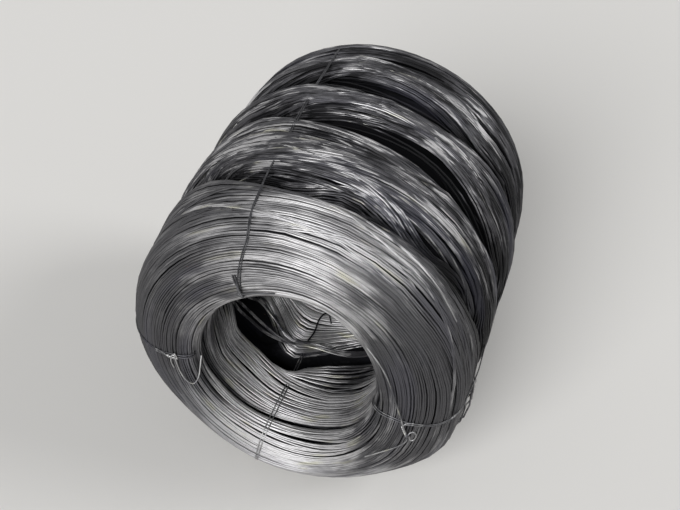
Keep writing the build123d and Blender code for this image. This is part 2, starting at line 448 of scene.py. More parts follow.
def wear_and_painted_light(at, sunk):
    """Wear at a point, with painted light and shade: least in gaps, on the two sides and toward the back
    end.
    """
    place = np.clip(along_line(line_y, at) / coil_length, 0, 1)
    inner = np.clip((bore_radius + 0.05 - along_line(line_r, at)) / 0.05, 0, 1)
    outer = 1 - inner
    behind = outer * np.clip((place - 0.17) / 0.09, 0, 1)
    front = outer * (1 - behind)
    past_wall = lap(at - wall_edge)
    brightened = (
        # painted light on the foot of the front end and the bore's floor, then on the top of the front
        # bundle
        0.55 * near(angles, 260, 40) * np.maximum(inner, np.clip(1 - 5 * place, 0, 1)),
        0.25 * near(angles, 80, 34) * outer * np.clip((0.24 - place) / 0.06, 0, 1),
        # painted light in the bore, more so its far half and its floor, and a painted highlight on the
        # edge where its wall ends
        0.30 * inner,
        0.26 * inner * np.clip((place - 0.30) / 0.06, 0, 1),
        0.14 * inner * near(angles, 262, 35),
        0.60 * inner * near(angles, 245, 50) * swell(past_wall - 0.004, 0.007),
    )
    dark = (
        # painted shade on the two sides, and more and more toward the back end
        0.10 * np.cos(angles) ** 2,
        0.12 * front * near(angles, 185, 40),
        0.26 * front * near(angles, 14, 28),
        0.16 * inner * near(angles, 180, 32),
        behind * (0.03 + 0.30 * place + 0.42 * near(angles, 8, 27)),
        # painted shade on the right side of the first hollow, then on the turns on both sides of the
        # bore's black gap
        0.85 * outer * near(angles, 14, 27) * swell(lap(at - border_line[0]), 0.036),
        0.60 * inner * near(angles, 290, 32) * (past_wall < 0) * (past_wall > -0.09),
        0.45 * inner * near(angles, 298, 24) * swell(lap(at - back_edge) + 0.014, 0.020),
    )
    # sunk darkens turns in gaps and hollows, both as unrubbed oxide and as painted shade
    return 0.52 - sunk + sum(brightened) - sum(dark)


worn_and_lit = wear_and_painted_light(section_place(0.06, 1), 0.0)
print("rub on the front shoulder from", round(float(worn_and_lit.min()), 2), "to", round(float(worn_and_lit.max()), 2))

# %% [markdown]
# Each bunch is filled with turns side by side. A turn keeps its share of the bunch's width, with
# a small drift of its own, so neighbours cross at a low angle. Near an open gap the turns slip
# inwards. Where a bunch is squeezed, every second turn is pushed up onto its neighbours. A second,
# sparser layer lies below and fills what the gaps show.

# %% Fill the bunches with turns
gap_half_width = 0.0056
hollow_half_width = 0.0085
gap_drop = 0.0120
bunch_edge = 0.0130
first_depth = 0.0034
top_depth = 0.0015
least_width = 0.0040
pile_height = 0.0030
top_spacing = 0.00205
under_spacing = 0.0056
under_depth = 0.0034


def gap_width(number):
    """Half the width of the gap at a border, round the coil."""
    return (hollow_half_width if number in hollows else gap_half_width) * opening[number]


def bunch_start(number):
    """Where the turns begin beyond a border; in front of the bore's gap they begin at its edge."""
    return front_edge if number == bore_gap else border_line[number] + gap_width(number)


def bunch_stop(number):
    """Where the turns end before a border; behind the bore's gap they end at its edge."""
    return back_edge if number == bore_gap else border_line[number] - gap_width(number)


def bunch_turns(number, spacing, extra_depth, drift):
    """Section places, depths, rub with its painted light and shade, and tone of all turns of one bunch,
    one row for each turn.
    """
    wild = wildness[number, 0]
    after = (number + 1) % len(border_at)
    round_again = section_length if after == 0 else 0.0
    low, high = bunch_start(number), bunch_stop(after) + round_again
    width = np.maximum(high - low, least_width)
    spacing = spacing * (0.6 if number == bore_gap else 1.0 + 0.25 * (wild > 1))
    count = max(2, round((border_at[after] + round_again - border_at[number]) / spacing))
    share = (np.arange(count) + 0.5) / count
    drift = drift * (0.35 + 0.65 * min(wild, 1))
    share = share[:, None] + own_waves(count, ((1, drift), (2, drift * 0.8), (4, drift * 0.5))) / count
    at = low + width * np.clip(share, 0.0, 1.0)
    fall = np.clip(1 - (at - low) / bunch_edge, 0, 1) ** 2 * opening[number]
    fall += np.clip(1 - (high - at) / bunch_edge, 0, 1) ** 2 * opening[after]
    squeeze = np.clip(1 - width / (count * 2 * wire_radius), 0, 0.4)
    pile = np.where(np.arange(count)[:, None] % 2 == 0, 0.0, 1.0) * squeeze * pile_height
    lift = wild * own_waves(1, ((1, 0.0012), (2, 0.0011), (3, 0.0008)))
    depth = np.maximum(first_depth + extra_depth + gap_drop * fall + lift - pile, top_depth)
    depth = depth + own_waves(count, ((2, 0.0002), (5, 0.0002)))
    hollow, slope = hollow_fall(at, angles), bore_slope(at, angles)
    # turns near open gaps, in the hollows and on the bore's back slope are darker here, as unrubbed oxide
    # and as painted shade
    rub_and_light = wear_and_painted_light(at, min(0.35 + wild, 1) * fall + 45 * hollow + 20 * slope)
    rub_and_light += wild * own_waves(1, ((1, 0.14), (2, 0.16), (3, 0.16)))
    return at, np.maximum(depth + hollow + slope, top_depth), rub_and_light, tones(count, wild)


bunches = range(len(border_at))
top_turns = [bunch_turns(number, top_spacing, 0.0, 1.8) for number in bunches]
under_turns = [bunch_turns(number, under_spacing, under_depth, 2.0) for number in bunches]
for label, layer in (("top", top_turns), ("under", under_turns)):
    print(sum(len(rows[0]) for rows in layer), label, "turns")

# %% [markdown]
# Soft wire that is wound by machine still crosses itself. Bands of a few turns climb out of their
# own bunch, lie across the next one and sink back. The ones that catch the eye in the photo are
# listed, and chance adds more on the loose bundles. At the lower right a few turns have sprung off
# the front bundle.

# %% Turns that cross
band_spacing = (0.0022, 0.0032)
band_dive = 0.006
chance_count = 22
loose_crests = (0.19, 0.215, 0.235, 0.32, 0.34, 0.43, 0.46)
# bands that stand out: turns, place behind the front end, reach, middle angle, length, brightness
chosen_bands = (
    (6, 0.196, -0.010, 34, 0.4, 0.35), (3, 0.084, 0.040, 27, 0.3, 0.00),
    (4, 0.112, 0.010, 38, 0.2, 0.10), (10, 0.128, 0.040, 60, 0.2, 0.10),
    (8, 0.150, 0.050, 66, 0.3, 0.05), (7, 0.192, -0.040, 112, 0.5, -0.05),
    (8, 0.335, -0.030, 92, 0.6, 0.10), (9, 0.300, 0.030, 40, 0.5, 0.15),
    (10, 0.430, 0.030, 48, 0.5, 0.35),
)
# sprung turns: place behind the front end, angle, how far the turn stands off there
sprung_places = (
    (0.152, -22, 0.0035), (0.143, -24, 0.0050), (0.132, -28, 0.0070), (0.121, -33, 0.0050),
)


def with_the_bunches(start):
    """The way round the coil of a turn that starts at a place and follows the bunches there."""
    number = np.searchsorted(border_at, start + (section_length if start < border_at[0] else 0)) - 1
    after = (number + 1) % len(border_at)
    width = lap(border_at[after] - border_at[number])
    share = lap(start - border_at[number]) / width
    drift = [lap(border_line[side] - border_at[side]) for side in (number, after)]
    return start + (1 - share) * drift[0] + share * drift[1]


def crossing_band(count, start, reach, middle, stay, brightened, ramp=0.55):
    """Turns that come up from their bunch, lie across the next one for a way and sink back.

    Reach is how far they cross over, middle the angle of their middle in degrees, and stay and
    ramp are the ways, in radians, on which they lie across and on which they come up or sink.
    """
    phase = np.mod(angles - math.radians(middle) + math.pi, 2 * math.pi) - math.pi
    across = np.clip((stay / 2 + ramp - np.abs(phase)) / ramp, 0, 1)
    across = across**2 * (3 - 2 * across)
    slant = reach * np.clip(phase / (stay + ramp), -0.5, 0.5)
    rows = (np.arange(count) - count / 2)[:, None] * rng.uniform(*band_spacing) * (0.6 + 0.4 * across)
    at = with_the_bunches(start) + slant * across + rows
    at = at + own_waves(count, ((1, 0.0010), (3, 0.0013), (4, 0.0008)))
    hollow = hollow_fall(at, angles)
    depth = top_depth + 0.0004 + 0.8 * hollow + band_dive * (1 - across)
    depth = depth + own_waves(count, ((2, 0.0002), (5, 0.0003)))
    # in the hollows the crossing turns are darker, as unrubbed oxide and as painted shade
    rub_and_light = wear_and_painted_light(at, 30 * hollow) + brightened * across + own_waves(1, ((2, 0.12), (3, 0.12)))
    return at, depth, rub_and_light, tones(count, 1.0)


def chance_band():
    """A crossing band somewhere, three times in four on the crests of the loose bundles."""
    start = rng.uniform(0, section_length)
    if rng.uniform() < 0.75:
        start = section_place(rng.choice(loose_crests), 1)
    reach = rng.choice((-1, 1)) * rng.uniform(0.02, 0.05)
    return crossing_band(rng.integers(4, 15), start, reach, rng.uniform(0, 360), rng.uniform(0.3, 1.8),
                         rng.uniform(-0.15, 0.35), rng.uniform(0.35, 0.8))


def sprung_band():
    """A few turns that spring off the lower right of the front bundle."""
    count = len(sprung_places)
    rise = np.stack([near(angles, middle, 12) for _, middle, _ in sprung_places])
    at = np.array([[section_place(y, 1)] for y, _, _ in sprung_places])
    at = at + own_waves(count, ((1, 0.0006), (2, 0.0006)))
    reach = np.array([[reach] for _, _, reach in sprung_places])
    depth = top_depth - reach * rise + (0.004 + hollow_fall(at, angles)) * (1 - rise)
    return at, depth, 0.25 + 0.65 * rise, tones(count, 0.3)


crossing_turns = [crossing_band(count, section_place(y, 1), *rest) for count, y, *rest in chosen_bands]
chance_turns = [chance_band() for _ in range(chance_count)]
crossing_turns.append(sprung_band())
print(sum(len(rows[0]) for rows in crossing_turns + chance_turns), "crossing turns")

# %% [markdown]
# Single turns catch the light on their own. Three pairs have slipped across the black gap inside
# the bore, on lines measured in the photo. Others lie askew over the rim here and there, which is
# what keeps a wound surface from looking combed.

# %% Single turns
# degrees, millimetres behind the front end
gap_turns = (
    ((0, 160), (150, 146), (180, 146), (188, 152), (197, 165), (207, 174), (219, 178), (226, 180),
     (240, 178), (262, 196)),
    ((0, 164), (150, 138), (180, 140), (196, 150), (210, 164), (222, 167), (231, 172), (243, 178),
     (262, 198)),
    ((0, 170), (150, 160), (185, 172), (199, 184), (210, 209), (226, 206), (232, 203), (243, 184),
     (262, 202)),
)
pair_spacing = 0.0024
lone_count = 40
lone_places = (0.055, 0.075, 0.095, 0.16, 0.20, 0.24, 0.33, 0.45)


def gap_strays():
    """The single turns that hang across the black gap inside the bore."""
    at = np.array([measured(line, -1) for line in gap_turns])
    at = (np.roll(at, 1, 1) + 2 * at + np.roll(at, -1, 1)) / 4
    at = np.vstack([at, at + pair_spacing])
    return at, np.full(at.shape, top_depth), np.full(at.shape, 0.62), tones(len(at), 0.2)


def lone_turns():
    """One or two turns that lie askew over the others, somewhere on the rim."""
    start = section_place(rng.choice(lone_places), 1)
    reach = rng.choice((-1, 1)) * rng.uniform(0.025, 0.070)
    return crossing_band(rng.integers(1, 3), start, reach, rng.uniform(0, 360), rng.uniform(0.2, 1.0),
                         rng.uniform(-0.1, 0.4), rng.uniform(0.4, 0.8))


crossing_turns.append(gap_strays())
stray_turns = [lone_turns() for _ in range(lone_count)]
print(sum(len(rows[0]) for rows in stray_turns), "stray turns")
print(len(gap_turns), "pairs across the gap")

# %% [markdown]
# A curve with a round bevel is the simplest wire there is. Hundreds of closed splines in one curve
# become one mesh, which keeps the pieces few, and six sides are enough for a wire this thin. Three
# numbers are stored on every point of the mesh for the material: the tone of the turn, its rub,
# which holds wear together with painted light and shade, and the swing, which says how far light
# and dark may lie apart there.

# %% Curves that become wire
root = "root"
bevel_sides = 6
open_sides = 8


def wire_curve(name, radius, sides, capped):
    """An empty curve that draws round wires."""
    curve = bpy.data.curves.new(name, "CURVE")
    curve.dimensions = "3D"
    curve.bevel_depth = radius
    curve.bevel_resolution = sides // 2 - 2
    curve.use_fill_caps = capped
    return curve


def add_spline(curve, kind, path):
    """One spline of a curve through rows of points."""
    spline = curve.splines.new(kind)
    spline.points.add(len(path) - 1)
    spline.points.foreach_set("co", np.hstack([path, np.ones((len(path), 1))]).ravel())
    spline.use_smooth = True
    return spline


def closed_wires(name, paths, radius=wire_radius):
    """One mesh of closed round wires along rows of points."""
    curve = wire_curve(name, radius, bevel_sides, False)
    for path in paths:
        add_spline(curve, "POLY", path).use_cyclic_u = True
    return curve_mesh(curve)


def soft_wires(name, paths, radius):
    """One mesh of open round wires, smooth through rows of control points."""
    curve = wire_curve(name, radius, open_sides, True)
    for path in paths:
        spline = add_spline(curve, "NURBS", path)
        spline.order_u = 3
        spline.use_endpoint_u = True
        spline.resolution_u = 4
    return curve_mesh(curve)


def curve_mesh(curve):
    """The mesh that a bevelled curve draws."""
    name = curve.name
    sketch = bpy.data.objects.new(name, curve)
    mesh = bpy.data.meshes.new_from_object(sketch)
    bpy.data.objects.remove(sketch)
    bpy.data.curves.remove(curve)
    mesh.name = name
    return mesh


def store(mesh, name, values):
    """Keeps one number on every point of a mesh."""
    layer = mesh.attributes.get(name) or mesh.attributes.new(name, "FLOAT", "POINT")
    layer.data.foreach_set("value", np.ascontiguousarray(values, np.float32))


def store_even(mesh, tone, rub_and_light, swing):
    """Keeps the same tone, rub with its painted light and shade, and swing on every point of a mesh."""
    for label, value in (("tone", tone), ("rub_and_light", rub_and_light), ("swing", swing)):
        store(mesh, label, np.full(len(mesh.vertices), value))


def add_piece(mesh, material, slot, *nodes):
    """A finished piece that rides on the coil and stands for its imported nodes."""
    piece = bpy.data.objects.new(mesh.name, mesh)
    bpy.context.scene.collection.objects.link(piece)
    mesh.materials.clear()
    mesh.materials.append(material)
    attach(piece, root)
    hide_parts(*nodes)
    triangles = sum(len(polygon.vertices) - 2 for polygon in mesh.polygons)
    print(mesh.name, triangles, "triangles")


def round_the_axis(at, depth):
    """World points of turns from their section places and depths."""
    return in_world(*on_section(at, depth), angles)


print("a wire has", bevel_sides, "sides and a closed turn", turn_points * bevel_sides * 2, "triangles")

# %% [markdown]
# The finish is worked out on the wires themselves. Annealed wire has a thin dark oxide that is
# rubbed to a dull grey sheen where turns slide over each other. The rubbed patches, which also
# stand in part for painted highlight that breaks off wire by wire, are long and narrow and follow
# the wire, so the noise is stretched round the axis. A group can be placed in several materials,
# each with its own values.

# %% A node group for patches that follow the turns
def new_group(name, inputs, outputs):
    """An empty shader node group with float inputs (name, value) and outputs (name, type)."""
    group = bpy.data.node_groups.new(name, "ShaderNodeTree")
    for label, value in inputs:
        socket = group.interface.new_socket(label, in_out="INPUT", socket_type="NodeSocketFloat")
        socket.default_value = value
    for label, kind in outputs:
        group.interface.new_socket(label, in_out="OUTPUT", socket_type=kind)
    return group, group.nodes.new("NodeGroupInput"), group.nodes.new("NodeGroupOutput")


def math_node(tree, operation, first, second=None):
    """A Math node whose inputs are sockets or plain numbers."""
    node = tree.nodes.new("ShaderNodeMath")
    node.operation = operation
    for socket, value in zip(node.inputs, (first, second)):
        if isinstance(value, (int, float)):
            socket.default_value = value
        elif value is not None:
            tree.links.new(value, socket)
    return node.outputs[0]


def ramp_node(tree, value, low, high):
    """A smooth step from 0 at low to 1 at high."""
    node = tree.nodes.new("ShaderNodeMapRange")
    node.interpolation_type = "SMOOTHSTEP"
    for label, given in (("Value", value), ("From Min", low), ("From Max", high)):
        if isinstance(given, (int, float)):
            node.inputs[label].default_value = given
        else:
            tree.links.new(given, node.inputs[label])
    return node.outputs["Result"]


def streak_group():
    """Noise that is long round the axis and narrow across the turns."""
    inputs = (
        ("Length", 0.06), ("Width", 0.008), ("Seed", 0.0), ("Low", 0.4), ("High", 0.6), ("Shift", 0.0),
    )
    group, given, result = new_group("turn_streaks", inputs, [("Mask", "NodeSocketFloat")])
    place = group.nodes.new("ShaderNodeTexCoord").outputs["Object"]
    split = group.nodes.new("ShaderNodeSeparateXYZ")
    group.links.new(place, split.inputs[0])
    across_x = math_node(group, "SUBTRACT", split.outputs[0], axis_x)
    across_z = math_node(group, "SUBTRACT", split.outputs[2], axis_z)
    squares = math_node(group, "ADD", math_node(group, "MULTIPLY", across_x, across_x),
                        math_node(group, "MULTIPLY", across_z, across_z))
    radius = math_node(group, "SQRT", squares)
    mean_radius = (bore_radius + bundle_radii[0]) / 2
    scale = math_node(group, "DIVIDE", mean_radius, given.outputs["Length"])
    round_x = math_node(group, "MULTIPLY", math_node(group, "DIVIDE", across_x, radius), scale)
    round_z = math_node(group, "MULTIPLY", math_node(group, "DIVIDE", across_z, radius), scale)
    along = math_node(group, "DIVIDE", split.outputs[1], given.outputs["Width"])
    outward = math_node(group, "DIVIDE", radius, given.outputs["Width"])
    joined = group.nodes.new("ShaderNodeCombineXYZ")
    for socket, value in zip(joined.inputs, (round_x, round_z, along)):
        group.links.new(value, socket)
    noise = group.nodes.new("ShaderNodeTexNoise")
    noise.noise_dimensions = "4D"
    noise.inputs["Scale"].default_value = 1.0
    noise.inputs["Detail"].default_value = 3.0
    group.links.new(joined.outputs[0], noise.inputs["Vector"])
    seed = math_node(group, "ADD", given.outputs["Seed"], given.outputs["Shift"])
    group.links.new(math_node(group, "ADD", outward, seed), noise.inputs["W"])
    mask = ramp_node(group, noise.outputs["Fac"], given.outputs["Low"], given.outputs["High"])
    group.links.new(mask, result.inputs["Mask"])
    return group


turn_streaks = streak_group()


def streaks(tree, length, width, seed, low, high, shift=None):
    """Places the streak group with its own values, in the order of its inputs; shift frays ends."""
    node = tree.nodes.new("ShaderNodeGroup")
    node.node_tree = turn_streaks
    for socket, value in zip(node.inputs, (length, width, seed, low, high)):
        socket.default_value = value
    if shift is not None:
        tree.links.new(shift, node.inputs["Shift"])
    return node.outputs["Mask"]


def mix_node(tree, mask, first, second):
    """A colour between two, each given as a socket or as a plain colour."""
    node = tree.nodes.new("ShaderNodeMix")
    node.data_type = "RGBA"
    for socket, value in ((node.inputs[0], mask), (node.inputs[6], first), (node.inputs[7], second)):
        if isinstance(value, (int, float)):
            socket.default_value = value
        elif isinstance(value, tuple):
            socket.default_value = (*value, 1.0)
        else:
            tree.links.new(value, socket)
    return node.outputs[2]


print(turn_streaks.name, "has", len(turn_streaks.nodes), "nodes")

# %% [markdown]
# The oxide of annealing is nearly black and dull. Where turns have slid over each other it is
# polished to a soft grey sheen, and only there does the wire shine like metal. So one field is made
# of rub, tone and streaks, and everything follows it: the colour goes from dark to grey to bright,
# and Metallic rises with it. Through rub the field also carries painted light and shade, and the
# streaks' frayed ends are partly painted highlight. A little olive, violet and rust are laid over, as
# in the photo. The same recipe gives four finishes: loose turns, the tight front bundle, buried
# turns and tie wire. The buried finish is a darker copy that paints shade into the gaps, and the
# tight one's bright colour is raised as painted light on the front bundle.

# %% The annealed wire's finish
olive_tint = (0.38, 0.37, 0.23)
violet_tint = (0.12, 0.12, 0.16)
rust_tint = (0.24, 0.13, 0.10)


def attribute(tree, name):
    """A stored number of the piece."""
    node = tree.nodes.new("ShaderNodeAttribute")
    node.attribute_name = name
    return node.outputs["Fac"]


def weighed(tree, parts):
    """The sum of sockets, each times its own weight."""
    total = 0.0
    for socket, weight in parts:
        total = math_node(tree, "ADD", math_node(tree, "MULTIPLY", socket, weight), total)
    return total


def overlaid(tree, mask, share, colour, tint):
    """A colour with a tint laid over it where a mask is, at a share of its strength."""
    return mix_node(tree, math_node(tree, "MULTIPLY", mask, share), colour, tint)


def annealed_finish(name, dark, grey, bright, roughness, patch, gloss):
    """Dark oxide with streaks of wear about a patch long, partly painted highlight; the swing sets light
    and dark apart.
    """
    material = bpy.data.materials.new(name)
    material.use_nodes = True
    tree = material.node_tree
    shader = tree.nodes["Principled BSDF"]
    shader.inputs["Specular IOR Level"].default_value = gloss
    tone = attribute(tree, "tone")
    rub_and_light = attribute(tree, "rub_and_light")
    # the streaks' ends are frayed by the tone, as painted highlight that ends wire by wire
    frayed = math_node(tree, "MULTIPLY", tone, 1.3)
    fine = streaks(tree, 0.012, 0.0030, 23.0, 0.35, 0.70)
    patchy = weighed(tree, (
        (streaks(tree, patch, patch / 4, 3.0, 0.41, 0.59, frayed), 0.32),
        (streaks(tree, patch / 2, patch / 9, 11.0, 0.38, 0.64, frayed), 0.18), (tone, 0.38),
    ))
    patchy = math_node(tree, "SUBTRACT", patchy, 0.44)
    patchy = math_node(tree, "MULTIPLY", patchy, attribute(tree, "swing"))
    field = math_node(tree, "ADD", weighed(tree, ((rub_and_light, 0.44),)), math_node(tree, "ADD", patchy, 0.44))
    colour = mix_node(tree, ramp_node(tree, field, 0.28, 0.56), dark, grey)
    # the bright colour comes where wear and painted light lie in the field
    worn_and_lit = ramp_node(tree, field, 0.60, 0.86)
    colour = mix_node(tree, worn_and_lit, colour, bright)
    colour = overlaid(tree, fine, 0.22, colour, dark)
    olive = streaks(tree, 0.08, 0.014, 41.0, 0.58, 0.68)
    colour = overlaid(tree, olive, math_node(tree, "MULTIPLY", worn_and_lit, 0.45), colour, olive_tint)
    violet = streaks(tree, 0.25, 0.040, 57.0, 0.52, 0.66)
    colour = overlaid(tree, violet, 0.18, colour, violet_tint)
    rust = streaks(tree, 0.020, 0.009, 71.0, 0.735, 0.80)
    colour = overlaid(tree, rust, 0.7, colour, rust_tint)
    tree.links.new(colour, shader.inputs["Base Color"])
    metal = math_node(tree, "MULTIPLY", ramp_node(tree, field, 0.26, 0.60), 0.9)
    tree.links.new(metal, shader.inputs["Metallic"])
    rough = math_node(tree, "SUBTRACT", roughness, math_node(tree, "MULTIPLY", worn_and_lit, 0.06))
    rough = math_node(tree, "ADD", rough, math_node(tree, "MULTIPLY", rust, 0.3))
    tree.links.new(rough, shader.inputs["Roughness"])
    bump = tree.nodes.new("ShaderNodeBump")
    bump.inputs["Strength"].default_value = 0.15
    bump.inputs["Distance"].default_value = 0.0003
    tree.links.new(fine, bump.inputs["Height"])
    tree.links.new(bump.outputs[0], shader.inputs["Normal"])
    return material


# dark, grey and bright colour, roughness, length of a patch, gloss of the oxide
finishes = {
    "loose_turns": ((0.007, 0.007, 0.008), (0.080, 0.079, 0.085), (0.40, 0.395, 0.40), 0.48, 0.052, 0.12),
    # the tight finish's bright colour is set higher, partly as painted light on the top and the foot of
    # the front bundle
    "tight_turns": ((0.020, 0.020, 0.021), (0.088, 0.087, 0.092), (0.47, 0.465, 0.47), 0.54, 0.080, 0.20),
    # the buried finish is the wire's finish made darker, as painted shade on turns seen deep in the gaps
    "shaded_buried_turns": ((0.005, 0.005, 0.006), (0.018, 0.018, 0.020), (0.07, 0.07, 0.075), 0.80, 0.070, 0.05),
    "tie_wire": ((0.030, 0.030, 0.033), (0.10, 0.10, 0.105), (0.42, 0.42, 0.42), 0.48, 0.050, 0.20),
}
loose, tight, shaded_buried, tie_finish = [annealed_finish(name, *values) for name, values in finishes.items()]
print("finishes", [material.name for material in (loose, tight, shaded_buried, tie_finish)])

# %% [markdown]
# Each bundle's turns become one mesh, and so do the turns that cross, the single ones and those
# underneath. The front bundle was wound tightest: its light and dark lie closer together, and it is
# calmest on its left.

# %% The wound turns
def turn_piece(name, turns, material, swing=None):
    """One mesh of many closed turns, with each turn's rub (wear with painted light and shade), tone and
    swing stored on its points.
    """
    at, depth, rub_and_light, tone = [np.concatenate(rows) for rows in zip(*turns)]
    mesh = closed_wires(name, round_the_axis(at, depth))
    if swing is None:
        swing = np.interp(along_line(line_y, at), (0.08, 0.14), (0.55, 1.05))
    swing = np.broadcast_to(swing, tone.shape)
    for label, values in (("tone", tone), ("rub_and_light", rub_and_light), ("swing", swing)):
        store(mesh, label, np.repeat(values.ravel(), bevel_sides))
    add_piece(mesh, material, "annealed_wire", "wire_coil")


loose_swing, back_swing = 1.28, 0.72
front_swing = 0.36 - 0.21 * near(angles, 190, 60)
bundles = (
    ("second_bundle", loose, loose_swing), ("third_bundle", loose, loose_swing),
    ("back_bundle", loose, back_swing), ("back_bore", loose, loose_swing),
    ("middle_bore", loose, loose_swing), ("front_bundle", tight, front_swing),
)
for (name, material, swing), first, last in zip(bundles, strong, [*strong[1:], len(border_at)]):
    turn_piece(name + "_turns", top_turns[first:last], material, swing)
turn_piece("crossing_turns", crossing_turns, loose)
turn_piece("chance_turns", chance_turns, loose)
turn_piece("stray_turns", stray_turns, tight)
# the turns underneath take the darker buried finish, which paints shade into the gaps
turn_piece("under_turns", under_turns, shaded_buried, 1.0)

# %% [markdown]
# Under the loose turns the coil is imported solid. Only its ridges show through the gaps, and they
# take the darker buried finish as painted shade, so it is one ridged section that is carried once
# round the axis: a closed grid of points, with a face between each four neighbours. Such a grid
# comes out the same, point for point, at every run.

# %% The imported core
core_depth = 0.0145
ridge_pitch = 0.0034
ridge_drop = 0.0016
core_steps = 72


def core_mesh():
    """The ridged section below the turns, carried once round the coil's axis."""
    count = int(section_length / ridge_pitch) // 2 * 2
    places = np.arange(count) * section_length / count
    at, turn = np.meshgrid(places, np.arange(core_steps) / core_steps * 2 * math.pi)
    ridge = np.where(np.round(at / ridge_pitch) % 2 == 0, 0.0, ridge_drop)
    points = in_world(*on_section(at, core_depth + ridge + hollow_fall(at, turn)), turn)
    corner = np.arange(at.size).reshape(at.shape)
    along, around = np.roll(corner, -1, 1), np.roll(corner, -1, 0)
    faces = np.stack([corner, along, np.roll(along, -1, 0), around], -1)
    mesh = bpy.data.meshes.new("packed_core")
    mesh.from_pydata(points.reshape(-1, 3).tolist(), [], faces.reshape(-1, 4).tolist())
    mesh.polygons.foreach_set("use_smooth", [True] * len(mesh.polygons))
    store_even(mesh, 0.0, 0.0, 1.0)
    return mesh


add_piece(core_mesh(), shaded_buried, "annealed_wire", "wire_coil")

# %% [markdown]
# Each tie is a doubled soft wire that is pulled tight round the whole section, so it spans the
# valleys from crest to crest. It could be drawn by hand, point by point, but a tight line is
# exactly the convex hull of the section, so it is worked out.

# %% The tight line round the section
tie_press = 0.0010
hull_spacing = 0.004


def bends_inward(first, second, third):
    """Whether a tight line from first to third would leave second untouched."""
    ahead = (second[0] - first[0]) * (third[1] - first[1])
    return ahead <= (second[1] - first[1]) * (third[0] - first[0])


def hull_corners():
    """Corners of the tight line round the section, in order round it."""
    points = sorted(set(zip(line_r, line_y)))
    corners = []
    for run in (points, points[::-1]):
        kept = []
        for r, y in run:
            while len(kept) > 1 and bends_inward(kept[-2], kept[-1], (r, y)):
                kept.pop()
            kept.append((r, y))
        corners += kept[:-1]
    return np.array(corners)


def tight_line():
    """Evenly spaced points on the tight line, pressed a little into the turns."""
    corners = hull_corners()
    corners = np.vstack([corners, corners[:1]])
    runs = np.concatenate([[0], np.cumsum(np.linalg.norm(np.diff(corners, axis=0), axis=1))])
    at = np.arange(0, runs[-1], hull_spacing)
    points = np.stack([np.interp(at, runs, corners[:, 0]), np.interp(at, runs, corners[:, 1])], 1)
    along = np.roll(points, -1, 0) - np.roll(points, 1, 0)
    along /= np.linalg.norm(along, axis=1)[:, None]
    aside = np.stack([along[:, 1], -along[:, 0]], 1)
    centre = points.mean(0)
    aside *= np.sign(np.sum(aside * (points - centre), 1))[:, None]
    return points - aside * tie_press


tie_line = tight_line()
print("tight line of", len(tie_line), "points")

# %% [markdown]
# The two wires of a tie lie side by side and sway a little. They bite into the crests that they
# cross, so for short ways they vanish between turns, and inside the bore they soon sink out of
# sight. Each tie has one brightness on the front end and another round the rest of its loop.

# %% The loops of the ties
tie_radius = 0.00090
tie_sway = 0.0006
lip_spacing = 0.0032
bore_sink = 0.0060
tie_swing = 0.6


def tie_spot(r, y, degrees, sideways=0.0):
    """A world point at a radius and place, a little to one side of an angle round the coil."""
    return in_world(r, y + 0 * r, np.radians(degrees) - sideways / r)


def tie_loop(front_degrees, back_degrees, veer, apart, side, hidden_from):
    """One wire of a tie, with its pair's spacing; inside the bore it sinks among the turns."""
    share = tie_line[:, 1] / coil_length
    degrees = front_degrees + (back_degrees - front_degrees) * share
    degrees = degrees + veer * np.clip((0.22 - tie_line[:, 0]) / 0.08, 0, 1) * np.clip(1 - share, 0, 1)
    spread = np.interp(share, (0.0, 0.12, 0.45, 1.0), (lip_spacing, apart[0], apart[1], apart[1]))
    phase = np.arange(len(tie_line)) / len(tie_line) * 2 * math.pi
    sway = tie_sway * (np.sin(3 * phase + side) + 0.6 * np.sin(7 * phase + 2.5 * side))
    in_bore = np.clip((bore_radius + 0.012 - tie_line[:, 0]) / 0.010, 0, 1)
    sunk = bore_sink * in_bore * np.clip((tie_line[:, 1] - hidden_from) / 0.02, 0, 1)
    bite = np.interp(tie_line[:, 1], (0.13, 0.19, 0.26, 0.34), (0.0, 0.0015, 0.0015, 0.0030))
    bite = bite * np.clip((tie_line[:, 0] - 0.20) / 0.02, 0, 1)
    return tie_spot(tie_line[:, 0] + sunk - bite, tie_line[:, 1], degrees, side * spread / 2 + sway)


# angle at the front and at the back, veer at the lip, spacing at the front and at the back,
# brightness at the front and at the back, how deep in the bore it goes out of sight
ties = {
    "tie_top": (102.0, 107.0, 8.0, (0.0020, 0.0018), -0.15, -0.2, 0.02),
    "tie_left": (180.0, 179.0, 0.0, (0.0026, 0.0022), -0.05, 0.1, 0.0),
    "tie_bottom": (256.0, 257.5, 0.0, (0.0042, 0.0034), 1.0, 0.5, 0.10),
    "tie_right": (348.5, 351.0, 3.0, (0.0028, 0.0022), 0.40, 0.1, 0.02),
}


def tie_loops(name):
    """A tie's two tight loops, with one brightness on the front end and another behind it."""
    *way, front_tone, back_tone, hidden_from = ties[name]
    rows = [tie_loop(*way, side, hidden_from) for side in (-1, 1)]
    mesh = closed_wires(name + "_loops", np.stack(rows), tie_radius)
    rub_and_light = back_tone + (front_tone - back_tone) * swell(tie_line[:, 1], 0.08)
    store_even(mesh, 0.5, 0.0, tie_swing)
    store(mesh, "rub_and_light", np.repeat(np.tile(rub_and_light, 2), bevel_sides))
    add_piece(mesh, tie_finish, "tie_wire", name)


for name in ties:
    tie_loops(name)

# %% [markdown]
# A tie is closed by twisting its two ends together with pliers, and what is left over is bent
# aside: a long U on the left, two loose tails and a curl at the right, a short spike over the bore.
# Their points were measured in the photo on the front face. Smooth splines through a few points
# bend the way such soft wire does.

